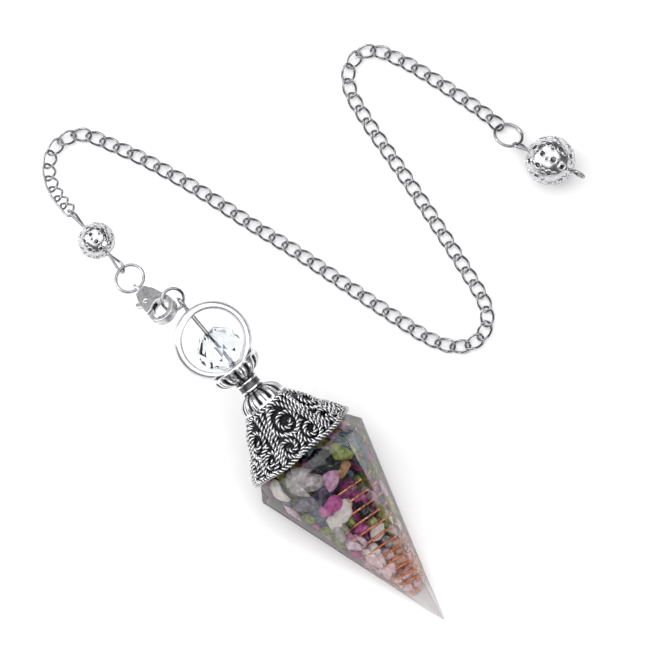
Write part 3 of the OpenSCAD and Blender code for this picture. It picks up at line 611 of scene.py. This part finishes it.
def bell_r(height):
    """The bell's radius at a height above its rim."""
    share = height / BELL_H
    for (h0, r0), (h1, r1) in zip(BELL_SHAPE, BELL_SHAPE[1:]):
        if share <= h1:
            return BELL_TOP_R + (BELL_RIM_R - BELL_TOP_R) * (r0 + (r1 - r0) * (share - h0) / (h1 - h0))
    return BELL_TOP_R


def on_bell(angle, height, lift):
    """A point on the bell's surface, lifted off it a little."""
    radius = bell_r(max(0.0, min(BELL_H, height))) + lift
    return BELL_X + height, radius * math.cos(math.radians(angle)), radius * math.sin(math.radians(angle))


def arch_line(middle):
    """An arch in one panel, from the rim up and back down to it."""
    out = []
    for s in range(-12, 13):
        up = 0.05 + ARCH_TALL * (1 - abs(s / 12) ** 3) ** 0.55
        out.append(on_bell(middle + s / 12 * ARCH_WIDE / PANELS, BELL_H * up, 0.1))
    return out


def scroll_line(middle, around, up, size, turn):
    """A spiral that starts wide and winds in to its middle."""
    line = []
    for k in range(SCROLL_STEPS + 1):
        a = math.radians(90 + turn * k * SCROLL_STEP_DEG)
        r = size * BELL_H * (1 - SCROLL_IN * k / SCROLL_STEPS)
        across = around * 2 * math.pi * bell_r(up * BELL_H) / PANELS + r * math.cos(a)
        height = up * BELL_H + r * math.sin(a)
        angle = middle + math.degrees(across / bell_r(max(0, height)))
        line.append(on_bell(angle, height, 0.12 + 0.35 * k / SCROLL_STEPS))
    return line


def seam_line(middle):
    """The short rope between two panels."""
    return [on_bell(middle + 180 / PANELS, h * BELL_H, 0.05) for h in (0.5, 0.65, 0.8, 0.95)]


# %% Bell cap
def relief(obj, values):
    """Stores how far each point stands out of the black grooves, for the blackened plate."""
    obj.data.attributes.new("relief", "FLOAT", "POINT").data.foreach_set("value", values)


def join(name, objects):
    """Joins pieces into the first one, which keeps its place on its body."""
    for obj in bpy.context.selected_objects:
        obj.select_set(False)
    for obj in objects:
        obj.select_set(True)
    bpy.context.view_layer.objects.active = objects[0]
    bpy.ops.object.join()
    objects[0].name = name
    objects[0].data.name = name
    return objects[0]


def bell_cap():
    outer = [(BELL_X + h * BELL_H, bell_r(h * BELL_H)) for h, r in BELL_SHAPE]
    inner = [(min(x, BELL_X + BELL_H - BELL_WALL), r - BELL_WALL) for x, r in outer]
    hole = [(BELL_X + BELL_H, PIN_HOLE_R), (BELL_X + BELL_H - BELL_WALL, PIN_HOLE_R)]
    points, faces = lathe(rounded(outer + hole + inner[::-1], 0.4), 96)
    ground = piece("bell_ground", points, faces, ON_FACET, ANTIQUE)
    relief(ground, [0.0] * len(points))
    paths = []
    for p in range(PANELS):
        middle = 90 + 360 * p / PANELS
        lines = [arch_line(middle)] + [scroll_line(middle, *scroll) for scroll in SCROLLS]
        paths += [(in_metres(ON_FACET, line), False) for line in lines + [seam_line(middle)]]
    wave = [(a, 0.5 + 0.5 * math.cos(math.radians(PANELS * (a - 90)))) for a in range(0, 360, 3)]
    rim = [on_bell(a, 0.15 + 0.3 * share, 0.1) for a, share in wave]
    top = [on_bell(a, BELL_H - 0.25, 0.05) for a in range(0, 360, 4)]
    paths += [(in_metres(ON_FACET, rim), True), (in_metres(ON_FACET, top), True)]
    ropes = swept("bell_ropes", paths, ROPE_D, ANTIQUE, 0.11, 10, ROPE_PITCH, ROPE_LOBE)
    ropes = finish_piece(ropes, ANTIQUE)
    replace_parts(join("bell", [ground, ropes]), "bell_cap")


bell_cap()

# %% [markdown]
# ## Flower caps and spacer
# Two bead caps back to back, with a turned ring between them. Their petals are fluted: the lathe's
# radius rises and falls round it, each petal has a vein, and the grooves keep the black finish. A
# plain bright lip runs round the open end.

# %% Flower caps and spacer
def flower(name, waist_x, way, rim_r, node):
    """A cap that opens along way from its waist, with a rim of radius rim_r."""
    outline = [(0, PIN_HOLE_R), (0, WAIST_R), (0.1, WAIST_R + 0.15), (0.24, rim_r * 0.74),
               (0.46, rim_r * 0.93), (0.7, rim_r), (1, rim_r), (1, rim_r - FLOWER_WALL),
               (0.72, rim_r - FLOWER_WALL), (0.52, rim_r * 0.93 - FLOWER_WALL),
               (0.36, rim_r * 0.6), (FLOWER_WALL / FLOWER_H, rim_r * 0.4),
               (FLOWER_WALL / FLOWER_H, PIN_HOLE_R)]
    profile = rounded([(waist_x + way * FLOWER_H * a, r) for a, r in outline], 0.3, 4)
    depths = []

    def petal(angle, along, radius):
        share = min(1.0, abs(along - waist_x) / FLOWER_H)
        ridge = abs(math.cos(angle * PETALS / 2)) ** 0.5
        aside = abs((angle * PETALS / (2 * math.pi) + 0.5) % 1 - 0.5)
        vein = 0.9 * max(0.0, 1 - aside / 0.13) * min(1.0, 3 * share)
        depth = max(0.0, min(1.0, 1.9 * ridge - 0.95) - vein) * min(1.0, 0.3 + share * 2.5)
        lip = share > 0.86 and radius > WAIST_R + 0.1
        depths.append(0.95 if lip else depth)
        if lip or radius < WAIST_R + 0.1:
            return radius
        return radius - min(1.0, share * 2) * (0.42 * (1 - ridge) + 0.12 * vein) - 0.08

    points, faces = lathe(profile, PETALS * 20, petal)
    relief(piece(name, points, faces, ON_FACET, ANTIQUE, True, [node]), depths)


def spacer():
    """A short turned ring with a lip at each end."""
    lip, x, h = WAIST_R + 0.25, SPACER_X, SPACER_H
    profile = [(x, PIN_HOLE_R), (x, lip), (x + 0.18 * h, lip), (x + 0.25 * h, WAIST_R), (x + 0.75 * h, WAIST_R),
               (x + 0.82 * h, lip), (x + h, lip), (x + h, PIN_HOLE_R)]
    points, faces = lathe(rounded(profile, 0.14), 64)
    obj = piece("turned_spacer", points, faces, ON_FACET, ANTIQUE, True, ["spacer_ring"])
    relief(obj, [0.9 if Vector(p).yz.length > WAIST_R + 0.12 else 0.2 for p in points])


flower("lower_petals", LOWER_FLOWER_X + FLOWER_H, -1, FLOWER_R, "lower_flower_cap")
flower("upper_petals", UPPER_FLOWER_X, 1, UPPER_FLOWER_R, "upper_flower_cap")
spacer()

# %% [markdown]
# ## Frame ring and glass bead
# The hoop is a flat polished band, a little narrower at its low end, which sits in the flower cap. It
# is turned as a plain ring, and the far side of it is then moved onto the narrow arc. The bead is cut
# glass with four rings of facets, and the pin shows through it.

# %% Frame ring
def frame_ring():
    inner, half, ease = FRAME_R - FRAME_BAND, FRAME_DEPTH / 2, FRAME_EASE
    profile = [(-half + ease, inner), (-half, inner + ease), (-half, FRAME_R - 2 * ease),
               (2 * ease - half, FRAME_R), (half - 2 * ease, FRAME_R), (half, FRAME_R - 2 * ease),
               (half, inner + ease), (half - ease, inner)]
    points, faces = lathe(rounded(profile, 0.25), 160)
    wide = math.pi / 2 + FRAME_SLOPE
    lying = []
    for x, y, z in points:
        angle, radius, middle = math.atan2(z, y), math.hypot(y, z), FRAME_X
        if abs(angle) > wide:
            radius, middle = radius - FRAME_R + FRAME_LOW_R, FRAME_X - FRAME_STRETCH
        lying.append((middle + radius * math.cos(angle), radius * math.sin(angle), x))
    piece("polished_hoop", lying, faces, ON_FACET, HOOP_METAL, True, ["frame_ring"])


frame_ring()

# %% Glass bead
# Each ring's place along the bead, its share of the radius, and its turn in steps of one facet.
GLASS_RINGS = [(-0.5, GLASS_END, 0), (-0.24, 0.93, 0.5), (0, 1, 0), (0.24, 0.93, 0.5), (0.5, GLASS_END, 0)]


def glass_bead():
    n, count = GLASS_SIDES, len(GLASS_RINGS)
    points, faces = [], []
    for along, radius, turn in GLASS_RINGS:
        for k in range(n):
            a = 2 * math.pi * (k + turn) / n
            r = radius * GLASS_R
            points.append((GLASS_X + along * GLASS_LEN, r * math.cos(a), r * math.sin(a)))
    for i in range(count - 1):
        for j in range(n):
            a, b, k = i * n, (i + 1) * n, (j + 1) % n
            if GLASS_RINGS[i][2] == 0:
                faces += [(a + j, b + j, a + k), (a + k, b + j, b + k)]
            else:
                faces += [(a + j, b + j, b + k), (a + j, b + k, a + k)]
    for side, end in ((0, -0.5), (1, 0.5)):
        base = len(points)
        ring = [(GLASS_X + end * GLASS_LEN, PIN_HOLE_R * math.cos(2 * math.pi * k / n),
                 PIN_HOLE_R * math.sin(2 * math.pi * k / n)) for k in range(n)]
        points += ring
        rim = side * (count - 1) * n
        faces += [(rim + k, rim + (k + 1) % n, base + (k + 1) % n, base + k) for k in range(n)]
    first, last = len(points) - 2 * n, len(points) - n
    faces += [(first + k, first + (k + 1) % n, last + (k + 1) % n, last + k) for k in range(n)]
    piece("cut_glass_bead", points, faces, ON_FACET, CUT_GLASS, False, ["glass_bead"])


glass_bead()

# %% [markdown]
# ## Rings, pin and clasp
# The jump rings and eyes are plain wire, so one swept circle makes each. The pin keeps its CAD form.
# The clasp's body and lever keep theirs too, with their edges rounded as cast and tumbled metal has.

# %% Rings
RING_WIRE, SMALL_RING_R, RING_R = 0.6, 2.1, 2.7


def wire_circle(matrix, radius, steps=72):
    angles = [2 * math.pi * k / steps for k in range(steps)]
    return in_metres(matrix, [(radius * math.cos(a), radius * math.sin(a), 0) for a in angles])


def wire_ring(name, matrix, radius, node):
    obj = swept(name, [(wire_circle(matrix, radius), True)], RING_WIRE, POLISHED, step=0.12, sides=14)
    finish_piece(obj, POLISHED, True, [node])


wire_ring("small_jump_ring", turned((-33.84, 37.6, 20.86), 302.6, -26.6), SMALL_RING_R, "small_ring")
wire_ring("front_jump_ring", turned((-42.09, 42.72, 15.91), 151.3, -15.7), RING_R, "front_ring")
wire_ring("end_jump_ring", turned((29.6, 74.03, 1.6), 66.8, -26.7), RING_R, "end_ring")
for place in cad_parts["long_pin"].material_slots:
    place.material = POLISHED


# %% Clasp
CELL, EASE_PASSES = 0.09, 7


def tumbled(name, node, body):
    """A CAD piece made again from small cells and smoothed, so that its edges are round."""
    obj = new_object(name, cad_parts[node].data.copy())
    obj.data.transform(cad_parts[node].matrix_world)
    cells = obj.modifiers.new("cells", "REMESH")
    cells.mode, cells.voxel_size = "VOXEL", CELL * MM
    ease = obj.modifiers.new("ease", "SMOOTH")
    ease.factor, ease.iterations = 0.5, EASE_PASSES
    finish_piece(applied(obj, name), CLASP_METAL, True, [node], body)


tumbled("cast_clasp", "clasp_body", BODY)
tumbled("clasp_thumb_lever", "clasp_lever", "clasp_lever")

# %% [markdown]
# ## Pierced balls
# Hollow beads stamped as openwork. The CAD shell already has the rows of holes; here the shell is
# made again with smaller holes between them and a raised rim round each, as the stamped pattern
# has, and the pin through it has drop-shaped eyes.

# %% Pierced balls
SMALL_BALL, SMALL_BALL_R = turned((-48.54, 50.69, 12.89), -50.55, 17), 3.5
LARGE_BALL, LARGE_BALL_R = turned((37.4, 68.25, 4.75), -31.2, 20.2), 4.75
# Each row's latitude, its count of holes, and their size as a share of the ball's radius.
BALL_ROWS = [(0, 12, 0.13), (30, 9, 0.14), (-30, 9, 0.14), (57, 5, 0.13), (-57, 5, 0.13)]
PINPRICK_R = 0.085
PINPRICK_ROWS = [(way * row, count, PINPRICK_R)
                 for row, count in ((15, 12), (43, 9), (71, 5)) for way in (1, -1)]
# The shell lies a little inside the CAD's, so that the rims on it stay within the real ball.
BALL_WALL, SHELL_SHARE, RIM_SHARE = 0.45, 0.975, 0.07


def hole_frames(rows):
    """The direction of each hole in a ball and its size as a share of the ball's radius."""
    out = []
    for row, count, size in rows:
        for k in range(count):
            swing = math.radians(360 * (k + (0.5 if row > 0 else 0.25)) / count)
            up = math.radians(90 - row)
            across = math.sin(up)
            out.append((Vector((math.cos(up), across * math.cos(swing), across * math.sin(swing))), size))
    return out


def ball(name, matrix, radius, node):
    """The pierced shell with a rim round each hole."""
    bm = bmesh.new()
    radius *= SHELL_SHARE
    bmesh.ops.create_uvsphere(bm, u_segments=128, v_segments=80, radius=radius)
    frames = hole_frames(BALL_ROWS + PINPRICK_ROWS)
    bmesh.ops.delete(bm, geom=[f for f in bm.faces if any(
        f.calc_center_median().normalized().angle(d) < s * 0.97 for d, s in frames)], context="FACES")
    mesh = bpy.data.meshes.new(name)
    bm.to_mesh(mesh)
    bm.free()
    shell = new_object(name, mesh)
    thick = shell.modifiers.new("wall", "SOLIDIFY")
    thick.thickness, thick.offset = BALL_WALL, -1
    shell = applied(shell, name)
    shell.data.transform(Matrix.Scale(MM, 4) @ matrix)
    paths = []
    for d, s in frames:
        turn = Matrix.Translation(d * radius * math.cos(s)) @ d.to_track_quat("Z", "Y").to_matrix().to_4x4()
        paths.append((wire_circle(matrix @ turn, radius * math.sin(s) * 1.04, 24), True))
    rims = swept(name + "_rims", paths, RIM_SHARE * radius, BALL_METAL, step=0.12, sides=8)
    finish_piece(join(name, [shell, rims]), BALL_METAL, True, [node])


ball("small_openwork_ball", SMALL_BALL, SMALL_BALL_R, "small_ball")
ball("large_openwork_ball", LARGE_BALL, LARGE_BALL_R, "large_ball")

# %% Pins with eyes
EYE_R, EYE_WIRE, BALL_PIN_D = 1.1, 0.55, 0.67
# How far each eye reaches from the ball's middle, and its roll about the pin.
SMALL_FRONT = SMALL_BACK = (7.6, 64)
LARGE_FRONT, LARGE_BACK = (6.6, 90), (7.27, 56.7)


def drop_eye(reach, start, roll, flip):
    """A loop of wire that leaves the pin, goes round in a drop shape and comes back to it."""
    side = math.asin(EYE_R / (reach - start))
    points = [(start, 0, 0)]
    for k in range(25):
        a = -(math.pi / 2 + side) + (math.pi + 2 * side) * k / 24
        points.append((reach + EYE_R * math.cos(a), EYE_R * math.sin(a), 0))
    turn = Matrix.Rotation(math.pi if flip else 0, 4, "Z") @ Matrix.Rotation(math.radians(roll), 4, "X")
    return [turn @ Vector(p) for p in points]


def ball_pin(name, matrix, front, back, radius, node):
    ends = [drop_eye(reach, radius + 0.3, roll, flip)
            for (reach, roll), flip in ((front, False), (back, True))]
    loops = swept(name, [(in_metres(matrix, e), True) for e in ends], EYE_WIRE, POLISHED, step=0.12, sides=12)
    straight = [(-radius - 0.5, 0, 0), (radius + 0.5, 0, 0)]
    pin = swept(name + "_pin", [(in_metres(matrix, straight), False)], BALL_PIN_D, POLISHED, step=0.5, sides=14)
    finish_piece(join(name, [loops, pin]), POLISHED, True, [node])


ball_pin("small_ball_wire", SMALL_BALL, SMALL_FRONT, SMALL_BACK, SMALL_BALL_R, "small_ball_pin")
ball_pin("large_ball_wire", LARGE_BALL, LARGE_FRONT, LARGE_BACK, LARGE_BALL_R, "large_ball_pin")

# %% [markdown]
# ## Chain
# A light curb chain. Every link is one closed loop of wire with its two ends twisted against each
# other, so that links lie flat and pass through their neighbours. Geometry Nodes instances one
# link along the route, at even steps, each turned along the curve.

# %% Route of the chain
LINK_PITCH, LINK_LEN, LINK_W, LINK_TWIST, CHAIN_WIRE = 2.88, 3.8, 2.36, 0.54, 0.46
CHAIN_ROUTE = [
    (-54.11, 57.74, 9.47), (-56.1, 60.7, 6.63), (-57.5, 63.6, 4.57), (-58.2, 66.5, 3.05),
    (-58.1, 69.3, 1.98), (-57.1, 71.7, 1.33), (-55.3, 73.4, 0.91), (-53, 74.3, 0.79),
    (-50.2, 73.9, 0.79), (-44.7, 71.5, 0.79), (-39.8, 69.2, 0.79), (-30.1, 63.6, 0.79),
    (-19.8, 56.8, 0.79), (-10.3, 50.8, 0.79), (-0.8, 44.3, 0.79), (8.7, 37.9, 0.79),
    (13.5, 34.8, 0.79), (16.6, 33.4, 0.79), (19.5, 32.8, 0.79), (22.3, 33.4, 0.79),
    (24.4, 35.2, 0.79), (25.3, 37.8, 0.79), (25, 40.5, 0.79), (24.1, 42.9, 0.79),
    (21, 48.2, 0.79), (18, 53.1, 0.79), (13.5, 60.3, 0.79), (8.7, 67.7, 0.79), (4.1, 74.5, 0.79),
    (1.3, 79.1, 0.79), (-0.3, 82, 0.79), (-1, 84.6, 0.79), (-0.9, 87.2, 0.79), (0.4, 89.6, 0.79),
    (2.7, 90.9, 0.79), (5.3, 90.7, 0.79), (7.9, 89.6, 0.79), (10.7, 88.2, 0.79),
    (17.6, 83.8, 0.79), (24.8, 78.7, 0.79), (27.07, 76.8, 0.9)
]


def chain_frames():
    """Place and turn of each link, at even steps along the route, as in the CAD."""
    line = smooth_line(CHAIN_ROUTE, 6)
    along = [0.0]
    for a, b in zip(line, line[1:]):
        along.append(along[-1] + (b - a).length)
    total = along[-1]

    def at(distance):
        distance = max(0.0, min(total, distance))
        i = max(k for k in range(len(along) - 1) if along[k] <= distance)
        share = (distance - along[i]) / (along[i + 1] - along[i])
        return line[i].lerp(line[i + 1], share)

    steps = round(total / LINK_PITCH)
    step = total / steps
    out = []
    for k in range(steps + 1):
        way = (at((k + 0.4) * step) - at((k - 0.4) * step)).normalized()
        across = Vector((0, 0, 1)).cross(way).normalized()
        out.append((at(k * step), Matrix((way, across, way.cross(across))).transposed()))
    return out


# %% Geometry Nodes: links along the route
def link_mesh():
    """One link as plain mesh: the same loop as the CAD's, drawn out with rounder wire."""
    points = []
    for k in range(48):
        a = 2 * math.pi * k / 48
        flat = LINK_LEN / 2 * math.cos(a), LINK_W / 2 * math.sin(a)
        points.append(Vector((*flat, LINK_TWIST * math.sin(2 * a))) * MM)
    return swept("chain_link", [(points, True)], CHAIN_WIRE, CHAIN_METAL, step=0.3, sides=10)


def link_group():
    """One link at each point, turned by the point's attribute."""
    group, start, keys = new_group("links_on_route", {"Link": "Object", "Material": "Material"})
    one = add(group, "GeometryNodeObjectInfo", links={"Object": start.outputs["Link"]})
    turn = add(group, "GeometryNodeInputNamedAttribute", {"data_type": "FLOAT_VECTOR", "Name": "turn"})
    placed = add(group, "GeometryNodeInstanceOnPoints", links={
        "Points": start.outputs["Geometry"], "Instance": one.outputs["Geometry"],
        "Rotation": turn.outputs[0]})
    close_group(group, start, placed.outputs["Instances"])
    return group, keys


# %% Chain
def chain():
    frames, link = chain_frames(), link_mesh()
    cloud = bpy.data.meshes.new("chain_points")
    cloud.from_pydata([p * MM for p, turn in frames], [], [])
    turns = cloud.attributes.new("turn", "FLOAT_VECTOR", "POINT")
    turns.data.foreach_set("vector", [a for p, turn in frames for a in turn.to_euler("XYZ")])
    values = {"Link": link, "Material": CHAIN_METAL}
    links = run_group(new_object("chain_points", cloud), *link_group(), values, "curb_chain")
    bpy.data.objects.remove(link)
    print("links:", len(frames))
    finish_piece(links, CHAIN_METAL, True, ["chain"])


chain()

# %% [markdown]
# ## Surface, light and camera
# A plain white surface, one large soft light overhead and a small one at each side. The room round
# them is dim, so that the metal mirrors both bright and dark. The camera looks down steeply through a
# long lens, as the photo does.

# %% Stage
def stage():
    """A plain surface six metres across."""
    bm = bmesh.new()
    bmesh.ops.create_grid(bm, x_segments=1, y_segments=1, size=3.0)
    mesh = bpy.data.meshes.new("floor")
    bm.to_mesh(mesh)
    bm.free()
    floor = new_object("floor", mesh)
    mat, tree, shader = material("white_surface", Roughness=0.75)
    tone = ramp(tree, object_noise(tree, 40.0).outputs["Fac"], (0.3, rgb("F4F4F4")), (0.7, rgb("FAFAFA")))
    tree.links.new(tone.outputs["Color"], shader.inputs["Base Color"])
    mesh.materials.append(mat)


def area(name, place, size, watts):
    """A square white light that faces the origin."""
    light = bpy.data.lights.new(name, "AREA")
    light.energy, light.size = watts, size
    obj = new_object(name, light)
    obj.location = place
    obj.rotation_euler = (-Vector(place)).to_track_quat("-Z", "Y").to_euler()


stage()
area("overhead", (-0.12, 0.12, 0.55), 1.2, 8.2)
area("left", (-0.5, 0.1, 0.26), 0.3, 1.1)
area("right", (0.45, -0.2, 0.28), 0.24, 0.8)
world = bpy.data.worlds.new("studio")
bpy.context.scene.world = world
world.use_nodes = True
room = world.node_tree.nodes["Background"]
room.inputs["Color"].default_value = rgb("E6E6E8")
room.inputs["Strength"].default_value = 0.16

# %% Camera
CAMERA_ELEVATION, CAMERA_DISTANCE, LENS = 78.0, 0.9, 262.0
AIM = Vector((-0.00555, 0.0372, 0.0))
camera = new_object("camera", bpy.data.cameras.new("camera"))
lift = math.radians(CAMERA_ELEVATION)
back = Vector((0, -math.cos(lift), math.sin(lift)))
camera.location = AIM + back * CAMERA_DISTANCE
camera.rotation_euler = (-back).to_track_quat("-Z", "Y").to_euler()
camera.data.lens = LENS
camera.data.clip_start, camera.data.clip_end = 0.05, 10.0
bpy.context.scene.camera = camera
bpy.context.scene.view_settings.view_transform = "Standard"
print("camera at", [round(c, 3) for c in camera.location])
